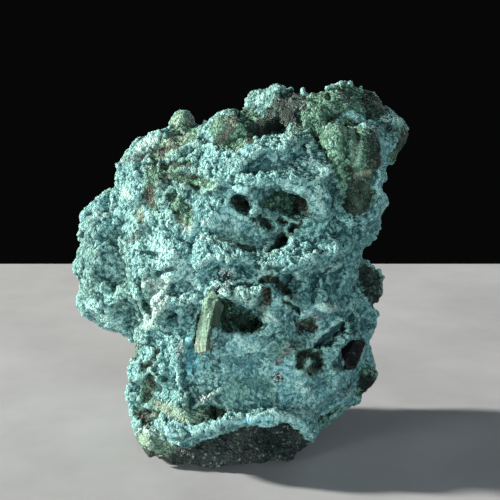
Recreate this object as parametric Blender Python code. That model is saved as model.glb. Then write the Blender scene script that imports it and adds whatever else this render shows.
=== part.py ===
"""A hand specimen of blue-green copper crust that grew over lumps of dark green malachite.

Metres, +Z up. The tables below are in millimetres and degrees. The front faces -Y, and the
specimen stands on the broken malachite at its foot, which is cut flat on z = 0.
"""

import math

import bmesh
import bpy
from mathutils import Euler, Matrix, Vector, noise

MM = 0.001

# Masses that make up the crusted body: centre, radii, turn about X, Y and Z.
BODY_MASSES = {
    "core": ((3, 3, 43), (25, 23, 27), (0, 0, 0)),
    "upper_body": ((10, 0, 62), (24, 20, 16), (0, -6, 0)),
    "upper_left": ((-7, 4, 67), (14, 15, 11.5), (0, 0, 0)),
    "brow": ((7, -8, 70.5), (17, 15, 8.5), (0, -6, 0)),
    "lower_body": ((3, 0, 23), (25, 20, 20), (0, 0, 0)),
    "left_body": ((-13, 0, 45), (17, 18, 22), (0, 10, 0)),
    "left_lobe": ((-28.5, 8, 42.5), (12, 14, 17.5), (0, 4, 0)),
    "left_lobe_top": ((-31.5, 7, 51), (8.7, 12, 10), (0, 0, 0)),
    "left_foot": ((-14.5, -1, 22), (11.5, 15, 16), (0, 0, 0)),
    "shoulder": ((-18, 7, 63), (12, 14, 13), (0, 0, 0)),
    "shoulder_top": ((-22, 6, 67.5), (7.5, 10, 7.2), (0, -20, 0)),
    "shoulder_edge": ((-22, 6, 56), (8, 12, 12), (0, 0, 0)),
    "right_flank": ((17, 2, 49), (12, 17, 18), (0, 0, 0)),
    "right_shoulder": ((23.5, -1, 59.5), (10.5, 15, 12), (0, 0, 0)),
    "right_foot": ((20, 2, 27), (12.5, 16, 15), (0, 10, 0)),
    "right_low": ((17.5, 1, 14.5), (11.5, 14, 11.5), (0, 0, 0)),
    "lower_front": ((-1, -7, 14), (17, 14, 8), (0, 0, 0)),
    "ledge_root": ((7, -8, 50.5), (18, 12, 6), (0, -6, 0)),
    "back_bulge": ((2, 16, 40), (24, 14, 26), (0, 0, 0)),
    "back_lobe_left": ((-13, 19, 57), (11, 10, 11), (0, 0, 0)),
    "back_lobe_right": ((13, 18, 60), (12, 10, 12), (0, 0, 0)),
    "back_lobe_middle": ((0, 23, 40), (10, 9, 11), (0, 0, 0)),
    "back_low_left": ((-9, 19, 20), (12, 10, 13), (0, 0, 0)),
    "back_low_right": ((13, 19, 23), (11, 10, 12), (0, 0, 0)),
}

# Lumps of malachite that stand out of the crust.
MALACHITE_LUMPS = {
    "shoulder_knob": ((-14, 13, 76), (3.8, 4.5, 5), (0, 0, 0)),
    "shoulder_ridge": ((-20.5, 5, 73), (8, 8, 4), (0, -30, 0)),
    "middle_knob_left": ((-4, -4, 78), (4.5, 6, 4.5), (0, 20, 0)),
    "middle_knob_right": ((2, -4, 77), (6, 7, 5), (0, 15, 0)),
    "middle_back": ((-1, 5, 78), (5.5, 6, 5), (0, 0, 0)),
    "crown_back": ((6, 9, 82), (5, 6, 4.5), (0, 0, 0)),
    "crown_grey": ((11, 5, 82), (6, 8, 6), (0, 0, 0)),
    "crown_left": ((16.5, -1, 80.8), (7, 8, 6.5), (0, 0, 0)),
    "crown_middle": ((22, 1, 83.2), (6.5, 9, 6), (0, 0, 0)),
    "crown_right": ((27, 2, 80.5), (6.5, 9, 6.8), (0, 0, 0)),
    "bulb_front": ((21.5, -15, 74.5), (4.6, 8, 8.5), (0, -10, 0)),
    "bulb_side": ((28, -12, 71.5), (4.6, 9, 9.5), (0, 8, 0)),
    "bulb_low": ((27, -12, 63.5), (5.5, 8, 6), (0, 0, 0)),
    "right_lump": ((29.6, 5, 38), (4, 6, 5.5), (0, 15, 0)),
    "right_foot_lump": ((29.6, 1, 19), (4.6, 6, 6.5), (0, 8, 0)),
    "finger": ((-6.8, -20, 36.5), (2, 3, 8), (0, 8, 0)),
}

HORN = {
    "horn": ((34, -1, 76.5), (5, 8, 5.5), (0, 25, 0)),
    "horn_root": ((31, -3, 72), (5.5, 9, 8), (0, 20, 0)),
}

# The foot: broken malachite with flat faces.
FOOT_BLOCKS = {
    "foot_slab": ((-3.5, -4, 2), (25, 20.5, 10), (0, -2, 0)),
    "foot_left": ((-16.5, -4, 2.5), (11, 12, 7), (0, 4, 30)),
    "foot_right": ((7.5, -4.5, 2.5), (11, 15, 9), (0, -5, 35)),
}

# Ledges, rims and ribs of the crust: radius, then the points that each follows.
LEDGES = {
    "middle_ledge": (
        2.8,
        (
            (-8, -15.5, 51),
            (-2.6, -18.5, 53),
            (4, -20, 52.4),
            (10, -20.5, 52.2),
            (15.5, -20, 53.6),
            (20, -18, 56),
            (25, -13, 58),
        ),
    ),
    "tongue": (
        2.4,
        ((-3.5, -18.5, 44.5), (0.5, -20, 45), (5, -20.5, 46), (8, -19, 44), (11, -18, 41), (14, -17, 37.5)),
    ),
    "hollow_rim": (
        2.2,
        (
            (-3, -16, 69),
            (2.5, -20, 71),
            (8, -21.5, 71),
            (13, -21.5, 69.5),
            (17, -20.5, 66),
            (18.5, -19, 61),
            (19.5, -19, 57),
        ),
    ),
    "left_rib": (
        2.4,
        ((-14, -14, 34), (-14.5, -15.5, 27.5), (-14, -16.5, 21.8), (-13.8, -17, 17), (-17.5, -16, 11.6)),
    ),
    "foot_ledge": (
        2.4,
        (
            (-18.5, -15.5, 11.6),
            (-12.7, -20, 11.1),
            (-5.7, -22, 12),
            (2.3, -22.5, 14.2),
            (10.3, -21, 14.5),
            (15, -17, 12),
            (18, -13, 7),
        ),
    ),
    "left_edge": (3, ((-23.5, -4, 24), (-25.5, -5, 18), (-24, -6, 10), (-23, -7, 7))),
}

# Hollows that are scooped out of the body: centre, radii, turn.
HOLLOWS = {
    "large_hollow": ((11.5, -20, 64), (5, 8, 4), (0, 0, 0)),
    "large_hollow_left": ((8, -20, 63.5), (3.2, 7, 2.8), (0, 0, 0)),
    "small_hollow": ((0, -19.5, 64.7), (2.2, 6, 2.3), (0, 0, 0)),
    "smooth_bay": ((-1, -25, 59), (10, 8, 5), (0, -6, 0)),
    "slit": ((7, -19, 57), (7, 5, 1.4), (0, -4, 0)),
    "gallery": ((9, -20, 60), (3.5, 5, 1.2), (0, -10, 0)),
    "finger_hollow": ((1, -18, 38.5), (5, 7, 4.5), (0, 20, 0)),
    "arch_groove": ((9, -22, 47.6), (4, 6, 1.4), (0, 25, 0)),
    "tongue_bay": ((14.5, -23, 46), (4.5, 6, 4), (0, 0, 0)),
    "brown_bay": ((14.5, -20, 37), (3.4, 5, 3.4), (0, 0, 0)),
    "brow_fold": ((3, -23.6, 72.4), (9, 4, 1.6), (0, -10, 0)),
    "left_fold": ((-15, -16, 56), (7, 4, 1.8), (0, 30, 0)),
    "left_low_fold": ((-13, -18, 44), (6, 3, 1.6), (0, -25, 0)),
    "right_fold": ((24, -20, 50), (1.8, 5, 7), (0, 15, 0)),
    "crown_gap": ((9, -9, 80), (2.5, 6, 5), (0, 20, 0)),
    "bulb_gap": ((25, -22, 72), (1.2, 4, 8), (0, 4, 0)),
    "crack": ((19.5, -18, 34.5), (5.5, 6, 1.8), (0, -38, 0)),
    "crystal_seat": ((25.5, -15, 28.6), (3, 5, 4.2), (0, 20, 0)),
    "lower_panel": ((5, -37, 25), (20, 20, 13), (0, 0, 0)),
    "blue_groove": ((-10.5, -19, 29), (1.8, 5, 7), (0, 4, 0)),
    "foot_groove": ((-11, -21.5, 16.6), (8, 3.6, 2), (0, 0, 0)),
    "left_crease": ((-21, -17, 39), (2.4, 6, 9), (0, 15, 0)),
    "left_patch": ((-21.5, -13, 17), (2, 4, 5), (0, 12, 0)),
    "under_horn": ((38.5, -4, 66), (5, 14, 6), (0, 0, 0)),
    "back_hollow": ((-6, 33, 49), (6, 7, 3.5), (0, 20, 0)),
    "back_slit": ((8, 31, 33), (8, 7, 2), (0, -25, 0)),
    "side_hollow": ((31, 6, 55), (5, 6, 3.5), (0, 0, 0)),
    "side_slit": ((-38, 12, 36), (5, 7, 2), (0, 0, 0)),
    "right_waist": ((35.5, -2, 46), (6, 14, 4.5), (0, -20, 0)),
}

VOXEL = 1.0
MOST_TRIANGLES = 9400
ROUND_SUBDIVISIONS = 4
CUTTER_SUBDIVISIONS = 3
BROKEN_SUBDIVISIONS = 1
LEDGE_RESOLUTION = 3
SOFTEN_FACTOR = 0.5
BODY_SOFTENING = 4
HOLLOW_SOFTENING = 1
CUT_REACH = 1e-6

# Weathering: the size of each scale of relief and how far it moves the surface.
WEATHER_SCALES = ((16, 1.6), (7, 2.0), (4, 0.7))
HOLLOW_SCALES = ((6, 0.9), (3, 0.4))
# Grape-like bumps: their spacing, their height and the level that they stand on.
BOTRYOIDS = (5.5, 2.0)
BUMP_TOP = 0.35
# Places that stay smooth: centre, radii and the share of the weathering that is left there.
SMOOTH_PLACES = (
    ((5, -18, 24), (18, 10, 12), 0.3),
    ((-1, -18, 59), (11, 7, 4), 0.4),
    ((33, -2, 52), (7, 18, 14), 0.5),
    ((0, 0, 2), (60, 60, 9), 0.6),
)

# A face belongs to the malachite when it lies this far out of a malachite lump, as a share of its radii.
MALACHITE_REACH = 1.12
FOOT_REACH = 1.03

CRUST_COLOUR = (0.25, 0.55, 0.52, 1)
MALACHITE_COLOUR = (0.03, 0.09, 0.05, 1)
CRUST_ROUGHNESS = 0.7
MALACHITE_ROUGHNESS = 0.6


def clear_scene():
    for old in list(bpy.data.objects):
        bpy.data.objects.remove(old)


def lump(name, centre, radii, turn, subdivisions=ROUND_SUBDIVISIONS):
    """A round mass. Few subdivisions leave it with flat, broken faces."""
    bpy.ops.mesh.primitive_ico_sphere_add(subdivisions=subdivisions, radius=1)
    made = bpy.context.active_object
    made.name = name
    place = Matrix.LocRotScale(
        Vector(centre) * MM,
        Euler([math.radians(angle) for angle in turn]),
        Vector(radii) * MM,
    )
    made.data.transform(place)
    return made


def ledge(name, radius, points):
    """A raised rim: a round bar along a smooth curve, which the remesh melts into the body."""
    curve = bpy.data.curves.new(name, "CURVE")
    curve.dimensions = "3D"
    curve.bevel_depth = radius * MM
    curve.bevel_resolution = LEDGE_RESOLUTION
    curve.use_fill_caps = True
    spline = curve.splines.new("BEZIER")
    spline.bezier_points.add(len(points) - 1)
    for knot, point in zip(spline.bezier_points, points):
        knot.co = Vector(point) * MM
        knot.handle_left_type = knot.handle_right_type = "AUTO"
    made = bpy.data.objects.new(name, curve)
    bpy.context.collection.objects.link(made)
    return made


def select_only(objects):
    bpy.ops.object.select_all(action="DESELECT")
    for each in objects:
        each.select_set(True)
    bpy.context.view_layer.objects.active = objects[0]


def apply_modifiers(body):
    select_only([body])
    for modifier in list(body.modifiers):
        bpy.ops.object.modifier_apply(modifier=modifier.name)


def remesh(body, voxel=VOXEL):
    fuse = body.modifiers.new("fuse", "REMESH")
    fuse.mode = "VOXEL"
    fuse.voxel_size = voxel * MM
    apply_modifiers(body)


def soften(body, times):
    smooth = body.modifiers.new("soften", "SMOOTH")
    smooth.factor = SOFTEN_FACTOR
    smooth.iterations = times
    apply_modifiers(body)


def join(name, objects):
    select_only(objects)
    bpy.ops.object.convert(target="MESH")
    bpy.ops.object.join()
    joined = bpy.context.active_object
    joined.name = joined.data.name = name
    return joined


def build_body():
    parts = [lump(name, *shape) for name, shape in BODY_MASSES.items()]
    parts += [lump(name, *shape) for name, shape in MALACHITE_LUMPS.items()]
    parts += [lump(name, *shape) for name, shape in HORN.items()]
    body = join("specimen", parts)
    remesh(body)
    soften(body, BODY_SOFTENING)
    additions = [ledge(name, *shape) for name, shape in LEDGES.items()]
    for name, shape in FOOT_BLOCKS.items():
        additions.append(lump(name, *shape, subdivisions=BROKEN_SUBDIVISIONS))
    body = join("specimen", [body, join("additions", additions)])
    remesh(body)
    return body


def scoop(body):
    lumps = [lump(name, *shape, subdivisions=CUTTER_SUBDIVISIONS) for name, shape in HOLLOWS.items()]
    cutter = join("hollows", lumps)
    remesh(cutter, VOXEL)
    ripple(cutter, HOLLOW_SCALES)
    remesh(cutter, VOXEL)
    cut = body.modifiers.new("scoop", "BOOLEAN")
    cut.operation = "DIFFERENCE"
    cut.object = cutter
    apply_modifiers(body)
    bpy.data.objects.remove(cutter)
    remesh(body)
    soften(body, HOLLOW_SOFTENING)


def reach(place, centre, radii, turn=(0, 0, 0)):
    """How far out of an egg shape a place lies: 0 in its middle, 1 on its skin."""
    out = Vector(place) - Vector(centre)
    out.rotate(Euler([math.radians(angle) for angle in turn]).to_matrix().inverted())
    return Vector(out[axis] / radii[axis] for axis in range(3)).length


def share_left(place):
    """The share of the weathering at a place: less in the smooth places, all of it elsewhere."""
    left = 1
    for centre, radii, share in SMOOTH_PLACES:
        out = min(1, reach(place, centre, radii))
        left = min(left, share + (1 - share) * out**2)
    return left


def ripple(body, scales, botryoids=None):
    """Swells and sinks the surface along its normals, at each scale, with grape-like bumps if asked."""
    moved = []
    for vertex in body.data.vertices:
        place = vertex.co / MM
        height = sum(swing * noise.noise(place / size) for size, swing in scales)
        if botryoids:
            size, swing = botryoids
            nearest = noise.voronoi(place / size)[0][0]
            height += swing * (BUMP_TOP - nearest * nearest)
            height *= share_left(place)
        moved.append(vertex.co + vertex.normal * height * MM)
    for vertex, place in zip(body.data.vertices, moved):
        vertex.co = place


def thin_out(body):
    fewer = body.modifiers.new("fewer_faces", "DECIMATE")
    fewer.ratio = MOST_TRIANGLES / (2 * len(body.data.polygons))
    apply_modifiers(body)


def cut_foot(body):
    mesh = bmesh.new()
    mesh.from_mesh(body.data)
    everything = mesh.verts[:] + mesh.edges[:] + mesh.faces[:]
    cut = bmesh.ops.bisect_plane(
        mesh, geom=everything, dist=CUT_REACH, plane_co=(0, 0, 0), plane_no=(0, 0, 1), clear_inner=True
    )
    rim = [part for part in cut["geom_cut"] if isinstance(part, bmesh.types.BMEdge)]
    bmesh.ops.triangle_fill(mesh, use_beauty=True, edges=rim, normal=(0, 0, -1))
    bmesh.ops.recalc_face_normals(mesh, faces=mesh.faces)
    mesh.to_mesh(body.data)
    mesh.free()


def material(name, colour, roughness):
    made = bpy.data.materials.new(name)
    made.use_nodes = True
    shader = made.node_tree.nodes["Principled BSDF"]
    shader.inputs["Base Color"].default_value = colour
    shader.inputs["Roughness"].default_value = roughness
    return made


def is_malachite(place):
    lumps = list(MALACHITE_LUMPS.values())
    if any(reach(place, *shape) < MALACHITE_REACH for shape in lumps):
        return True
    return any(reach(place, *shape) < FOOT_REACH for shape in FOOT_BLOCKS.values())


def colour(body):
    """The blue crust covers the body; the lumps and the foot are malachite."""
    body.data.materials.append(material("blue_crust", CRUST_COLOUR, CRUST_ROUGHNESS))
    body.data.materials.append(material("malachite", MALACHITE_COLOUR, MALACHITE_ROUGHNESS))
    for face in body.data.polygons:
        face.material_index = int(is_malachite(face.center / MM))


def set_over_origin(body):
    """Moves the body so that the middle of its box stands over the origin."""
    xs = [vertex.co.x for vertex in body.data.vertices]
    ys = [vertex.co.y for vertex in body.data.vertices]
    middle = Vector(((min(xs) + max(xs)) / 2, (min(ys) + max(ys)) / 2, 0))
    body.data.transform(Matrix.Translation(-middle))


def main():
    clear_scene()
    body = build_body()
    scoop(body)
    ripple(body, WEATHER_SCALES, BOTRYOIDS)
    thin_out(body)
    cut_foot(body)
    colour(body)
    set_over_origin(body)
    body.data.shade_smooth()


main()
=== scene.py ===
"""Looks of a hand specimen: a grape-like blue-green crust over knobs and a foot of malachite.

Blender works in metres. The tables here are in millimetres, or in frame units: places in the
camera's square frame, which is 500 units wide and high, counted from its upper left corner.
"""

import math

import bmesh
import bpy
import numpy as np
from mathutils import Matrix, Vector, noise
from mathutils.bvhtree import BVHTree


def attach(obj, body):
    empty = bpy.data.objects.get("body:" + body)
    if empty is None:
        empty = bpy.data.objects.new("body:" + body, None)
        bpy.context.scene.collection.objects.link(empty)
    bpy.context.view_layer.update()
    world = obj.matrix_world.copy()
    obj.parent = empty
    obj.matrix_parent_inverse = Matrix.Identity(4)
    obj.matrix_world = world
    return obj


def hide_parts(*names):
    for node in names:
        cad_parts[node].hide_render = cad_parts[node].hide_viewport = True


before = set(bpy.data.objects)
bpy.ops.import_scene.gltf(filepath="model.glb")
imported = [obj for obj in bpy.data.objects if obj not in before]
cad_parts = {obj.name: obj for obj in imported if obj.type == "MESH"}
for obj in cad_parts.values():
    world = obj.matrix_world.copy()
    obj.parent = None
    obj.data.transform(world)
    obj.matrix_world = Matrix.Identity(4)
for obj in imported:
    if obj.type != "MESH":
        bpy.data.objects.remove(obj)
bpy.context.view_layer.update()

MM = 0.001

# The camera, in millimetres and degrees.
FRAME_SIDE = 500
LENS = 90
SENSOR = 36
AIM = np.array((2.97, -3.68, 48.8))
DISTANCE = 300
PITCH = math.radians(14)

VOXEL_COARSE = 0.5
VOXEL_FINE = 0.27

# Pieces that the finished rock is cut into, from the bottom up: name, and the height of its top.
SLABS = (
    ("foot", 14),
    ("waist", 29.5),
    ("middle", 43.5),
    ("brow", 57),
    ("shoulders", 70.5),
    ("crown", None),
)

# ---------------------------------------------------------------------------
# Marks: finishes of the surface, and places of painted shade and painted highlight. Each is a
# line of discs, given in frame units as u, v and radius, and it lands on the surface behind it.
MARKS = {
    # Green malachite, bare of crust.
    "malachite": (
        ((182, 123, 13), (196, 122, 6)),
        ((190, 134, 8), (178, 139, 10), (165, 146, 10), (156, 156, 7)),
        ((153, 165, 5), (151, 180, 6), (150, 196, 8), (152, 206, 5)),
        ((164, 168, 6), (176, 166, 6), (190, 162, 3)),
        ((160, 174, 6), (173, 177, 6), (188, 180, 6), (198, 183, 7), (211, 184, 4)),
        ((138, 208, 4), (141, 222, 3)),
        ((172, 196, 6), (178, 204, 9), (184, 214, 9), (187, 222, 5)),
        ((115, 186, 5),),
        ((218, 128, 9), (222, 118, 8), (236, 119, 10), (248, 124, 11), (263, 127, 9),
         (276, 124, 7)),
        ((222, 141, 9), (232, 131, 9), (246, 131, 10), (262, 133, 6)),
        ((212, 117, 5), (222, 111, 6), (234, 110, 6), (245, 115, 6), (258, 119, 6)),
        ((234, 143, 9), (248, 139, 8)),
        ((293, 98, 11), (288, 110, 12), (280, 122, 11)),
        ((284, 98, 7), (276, 112, 9), (266, 124, 9), (262, 135, 5)),
        ((306, 110, 8), (317, 100, 11), (330, 99, 12), (341, 97, 11)),
        ((341, 97, 12), (353, 95, 12), (366, 98, 12), (377, 104, 9), (382, 113, 5)),
        ((328, 108, 8), (339, 108, 7), (352, 105, 6), (374, 114, 6)),
        ((366, 112, 6), (376, 116, 6), (384, 115, 3)),
        ((298, 126, 8), (308, 119, 10), (320, 117, 10), (332, 119, 7)),
        ((315, 131, 7), (328, 135, 9), (341, 128, 10), (342, 144, 10), (339, 156, 8),
         (348, 166, 8)),
        ((360, 136, 9), (358, 150, 11), (356, 163, 10), (355, 175, 8)),
        ((346, 124, 7), (352, 132, 8), (350, 150, 9), (350, 166, 9), (352, 180, 8)),
        ((318, 134, 7), (324, 144, 7), (332, 156, 7), (340, 170, 6), (346, 186, 6)),
        ((369, 136, 8), (372, 150, 11), (371, 166, 9), (366, 180, 7)),
        ((360, 187, 13), (356, 202, 14), (354, 211, 7)),
        ((366, 190, 10), (366, 203, 8)),
        ((402, 130, 5), (406, 138, 6), (400, 148, 5), (393, 158, 4)),
        ((238, 201, 8), (243, 206, 8)),
        ((267, 205, 6), (281, 200, 11), (296, 205, 12), (306, 208, 7)),
        ((284, 193, 6),),
        ((227, 276, 3.2),),
        ((219, 289, 2.4),),
        ((262, 221, 3.5), (269, 226, 4)),
        ((279, 221, 3), (284, 223, 2.5)),
        ((292, 228, 3.5), (298, 225, 4), (303, 222, 2)),
        ((283, 239, 5), (278, 244, 4.5), (271, 250, 2.5)),
        ((239, 246, 2), (247, 249, 3.5), (255, 249, 2.5)),
        ((260, 281, 3), (268, 278, 5), (276, 280, 5), (284, 287, 5), (291, 296, 4)),
        ((283, 301, 2), (292, 306, 2), (300, 314, 2.5)),
        ((266, 292, 6), (267, 299, 5)),
        ((223, 303, 7), (226, 318, 9), (230, 328, 7)),
        ((230, 315, 10), (244, 321, 12), (256, 325, 9)),
        ((214, 297, 8), (211, 312, 9), (207, 328, 9), (204, 343, 8), (202, 350, 4)),
        ((200, 315, 2), (198, 330, 2.5), (195, 342, 2)),
        ((302, 327, 5), (310, 325, 8)),
        ((300, 366, 6), (301, 357, 6), (309, 352, 6), (318, 357, 6), (319, 366, 6), (312, 371, 5)),
        ((278, 377, 5),),
        ((364, 270, 7), (370, 284, 12), (376, 295, 10), (375, 304, 5)),
        ((374, 272, 5), (380, 284, 6), (381, 295, 5)),
        ((369, 372, 8), (369, 383, 11), (361, 392, 7)),
        ((152, 379, 5), (148, 390, 8), (146, 399, 7)),
        ((139, 412, 6), (146, 419, 8), (155, 413, 6)),
        ((158, 405, 4), (171, 411, 7), (185, 416, 9), (198, 418, 7)),
        ((202, 414, 7), (213, 412, 7), (224, 413, 4)),
        ((158, 349, 3), (151, 361, 3), (143, 369, 3)),
        ((136, 345, 4), (136, 357, 4)),
        ((340, 408, 2), (330, 414, 2.5), (320, 423, 3)),
    ),
    # Brown stain, over crust and malachite.
    "brown": (
        ((122, 162, 4), (133, 158, 4), (146, 156, 4)),
        ((150, 190, 5), (151, 202, 5)),
        ((163, 178, 5), (160, 184, 4)),
        ((176, 141, 3), (165, 147, 3), (155, 152, 3)),
        ((187, 175, 3), (196, 178, 3)),
        ((235, 117, 5), (230, 126, 7), (224, 136, 5)),
        ((127, 244, 3), (135, 237, 4), (143, 227, 3)),
        ((141, 214, 3), (141, 222, 3)),
        ((299, 325, 6), (310, 325, 9), (318, 318, 5)),
        ((266, 291, 5), (266, 300, 5)),
        ((158, 349, 3), (151, 361, 3), (144, 368, 3)),
        ((151, 380, 4), (147, 392, 6)),
        ((141, 414, 4), (152, 412, 4)),
        ((159, 404, 4), (168, 410, 4)),
        ((200, 401, 3), (208, 396, 3), (215, 391, 2)),
        ((238, 202, 5), (243, 208, 5)),
        ((385, 124, 4), (392, 131, 4)),
        ((206, 330, 5), (204, 344, 5)),
        ((344, 393, 3), (348, 387, 3)),
        ((305, 374, 2), (311, 371, 2.5)),
        ((297, 344, 4), (284, 352, 5), (277, 360, 4)),
        ((376, 160, 6),),
        ((180, 346, 4), (178, 358, 3)),
        ((300, 206, 6), (305, 210, 5)),
    ),
    # Moss-green crust.
    "mossy": (
        ((206, 124, 10), (190, 140, 14), (168, 150, 15), (150, 160, 12)),
        ((150, 165, 14), (160, 182, 18), (150, 205, 14)),
        ((180, 172, 14), (200, 184, 14), (216, 186, 8)),
        ((178, 200, 14), (186, 218, 12)),
        ((90, 225, 8), (84, 245, 10), (100, 270, 16)),
        ((80, 270, 8), (90, 300, 9)),
        ((115, 240, 10), (128, 310, 14)),
        ((148, 284, 12), (158, 292, 14), (152, 316, 12), (140, 330, 8)),
        ((250, 100, 18), (268, 100, 16)),
        ((246, 108, 10), (262, 96, 12), (275, 92, 8)),
        ((296, 140, 8), (280, 132, 8)),
        ((320, 140, 8), (333, 165, 8), (342, 200, 8)),
        ((262, 220, 14), (285, 228, 12), (270, 245, 12)),
        ((225, 236, 10), (245, 240, 10)),
        ((240, 294, 14), (258, 304, 10)),
        ((275, 350, 12), (295, 345, 12)),
        ((310, 362, 16),),
        ((240, 395, 20), (262, 390, 16), (264, 405, 12)),
        ((150, 378, 12), (148, 400, 12)),
        ((190, 398, 12), (215, 402, 10)),
        ((385, 122, 8), (392, 135, 6)),
        ((140, 435, 10), (160, 440, 12)),
    ),
    # The palest crust, almost cream.
    "cream": (
        ((150, 285, 6), (158, 291, 8), (160, 302, 8), (152, 314, 6), (146, 324, 4)),
        ((166, 280, 6),),
        ((180, 219, 3), (185, 227, 4), (190, 231, 3)),
        ((189, 176, 3),),
        ((201, 402, 2), (208, 397, 3.5), (216, 392, 2)),
        ((145, 432, 6), (158, 440, 6)),
        ((234, 118, 5), (228, 127, 6), (223, 137, 4)),
        ((140, 148, 5), (152, 140, 6)),
        ((126, 193, 5),),
        ((356, 175, 2), (369, 172, 2)),
        ((263, 309, 3), (268, 316, 4), (275, 321, 2)),
        ((318, 306, 2.5), (336, 308, 3)),
    ),
    # Crust painted paler: mostly painted highlight on ridges, crests and faces that catch the
    # light, and a few pale lips of the crust itself.
    "pale_and_highlight": (
        ((289, 137, 4), (297, 143, 5)),
        ((262, 143, 3), (255, 155, 4), (240, 166, 3)),
        ((262, 97, 3), (254, 106, 2.5)),
        ((309, 147, 3), (314, 160, 3), (326, 173, 4), (318, 178, 3)),
        ((163, 248, 7), (170, 262, 9), (180, 278, 8)),
        ((182, 296, 5), (190, 310, 4)),
        ((316, 200, 5), (322, 209, 5)),
        ((165, 408, 5), (180, 414, 6), (196, 417, 5)),
        ((143, 436, 8), (158, 444, 8)),
        ((326, 190, 3), (320, 200, 3)),
        ((283, 184, 3), (300, 188, 4), (313, 196, 3), (318, 208, 3)),
        ((200, 263, 3), (214, 256, 3), (226, 258, 4), (237, 254, 3)),
        ((300, 261, 3), (312, 258, 4), (325, 252, 3), (335, 245, 4)),
        ((170, 256, 8), (178, 266, 10), (184, 274, 7)),
        ((138, 208, 6), (142, 218, 6)),
        ((306, 160, 4), (314, 172, 4), (320, 202, 4)),
        ((325, 264, 2), (336, 263, 2)),
        ((320, 308, 2), (328, 308, 3), (336, 309, 2)),
        ((262, 312, 2.5), (268, 317, 3)),
        ((353, 130, 5), (356, 146, 6), (354, 162, 5)),
        ((98, 318, 7), (112, 324, 7)),
        ((96, 213, 5), (106, 217, 4)),
        ((262, 274, 3), (272, 272, 3)),
        ((300, 275, 3), (303, 283, 2)),
        ((326, 270, 3), (340, 264, 3)),
        ((347, 117, 2.5), (360, 121, 2.5), (372, 127, 3)),
        ((383, 119, 4), (392, 117, 4), (400, 124, 3)),
        ((208, 362, 2), (211, 355, 1.5)),
        ((240, 294, 8), (250, 299, 7), (226, 293, 4)),
        ((214, 190, 3),),
        ((330, 104, 3), (318, 92, 3)),
        ((200, 234, 4), (225, 241, 3), (252, 243, 3)),
        ((204, 222, 4), (226, 228, 3), (250, 234, 2)),
        ((212, 212, 3), (226, 218, 3), (240, 224, 2)),
        ((240, 342, 6), (255, 348, 5)),
        ((265, 362, 5), (262, 372, 4)),
        ((300, 385, 5), (310, 395, 5)),
        ((276, 414, 6), (290, 414, 8), (308, 407, 9)),
    ),
    # Bright blue crust.
    "bright": (
        ((147, 209, 1.5), (147, 220, 2)),
        ((187, 334, 3), (188, 346, 4), (190, 358, 4.5), (190, 372, 3)),
        ((196, 350, 1.5), (198, 362, 2), (197, 374, 1.5)),
        ((206, 356, 2), (208, 368, 2)),
        ((192, 234, 2), (196, 236, 2)),
        ((245, 421, 1.5), (275, 417, 1.5)),
    ),
    # Smooth crust with streaks and clefts in place of grains.
    "smooth": (
        ((238, 355, 26), (262, 372, 34), (285, 392, 30), (310, 400, 22)),
        ((236, 395, 18), (260, 408, 16), (285, 410, 14)),
        ((225, 225, 16), (245, 235, 16), (265, 240, 10)),
        ((232, 195, 6), (245, 188, 5), (225, 212, 8)),
        ((254, 168, 5), (268, 162, 8), (284, 157, 9), (298, 152, 7)),
        ((287, 186, 5), (300, 190, 6), (312, 198, 6)),
        ((388, 140, 6), (384, 155, 5), (380, 168, 4)),
        ((380, 185, 5), (384, 200, 6), (376, 215, 6), (372, 230, 7)),
        ((190, 340, 7), (192, 360, 8), (198, 378, 8)),
        ((172, 432, 9), (200, 433, 9), (235, 425, 6), (275, 419, 5), (306, 430, 9)),
        ((350, 395, 14), (335, 405, 12), (330, 385, 14)),
        ((318, 318, 16), (330, 325, 12), (300, 340, 12)),
        ((330, 355, 10), (345, 372, 8)),
        ((372, 345, 9), (372, 360, 7)),
        ((275, 305, 8), (280, 320, 10)),
    ),
    # Pale crust of a finer grain; on the lit left body and lobe its paleness is partly painted
    # highlight.
    "fine": (
        ((150, 236, 9), (160, 246, 11), (172, 262, 14), (186, 280, 11), (196, 298, 8)),
        ((136, 206, 8), (142, 218, 8)),
        ((90, 306, 7), (106, 318, 11), (118, 330, 8)),
        ((106, 264, 9), (112, 274, 8)),
    ),
    # Dark teal crust, broken in flat faces. In the brow's trough, under the ledges and on faces
    # turned from the light, its darkness is painted shade.
    "teal_and_shade": (
        ((110, 214, 5),),
        ((84, 240, 4), (100, 238, 5)),
        ((126, 302, 5), (132, 311, 6), (130, 321, 5)),
        ((95, 265, 4), (100, 277, 3)),
        ((168, 313, 3), (174, 321, 5)),
        ((252, 168, 6), (266, 163, 11), (284, 158, 12), (299, 152, 8)),
        ((258, 168, 7), (270, 165, 9), (282, 160, 8)),
        ((295, 299, 3),),
        ((316, 282, 3), (314, 297, 3)),
        ((375, 340, 6), (374, 355, 5)),
        ((256, 263, 6), (267, 263, 7), (281, 269, 6)),
        ((284, 276, 5), (296, 284, 6)),
        ((318, 276, 6), (334, 276, 8), (330, 290, 8)),
        ((370, 212, 7), (374, 228, 6)),
        ((221, 170, 4), (232, 160, 4)),
        ((260, 404, 9),),
        ((133, 383, 5),),
        ((172, 428, 5), (180, 434, 8), (196, 432, 7), (215, 428, 6), (232, 426, 5)),
        ((214, 366, 6), (228, 356, 7), (236, 362, 6)),
        ((250, 382, 7), (262, 388, 8)),
        ((310, 388, 5),),
        ((337, 340, 6),),
        ((205, 120, 5), (198, 124, 6)),
        ((133, 178, 5),),
        ((140, 152, 4),),
        ((352, 318, 5), (355, 332, 5)),
        ((305, 345, 3), (270, 340, 4)),
        ((325, 232, 6), (345, 238, 6)),
    ),
    # Painted shade: the darkest crust, painted in folds, pits and under ledges, where shade falls.
    "painted_shade": (
        ((319, 345, 4), (328, 340, 7), (336, 334, 8), (342, 327, 6)),
        ((352, 318, 4), (355, 332, 4)),
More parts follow.
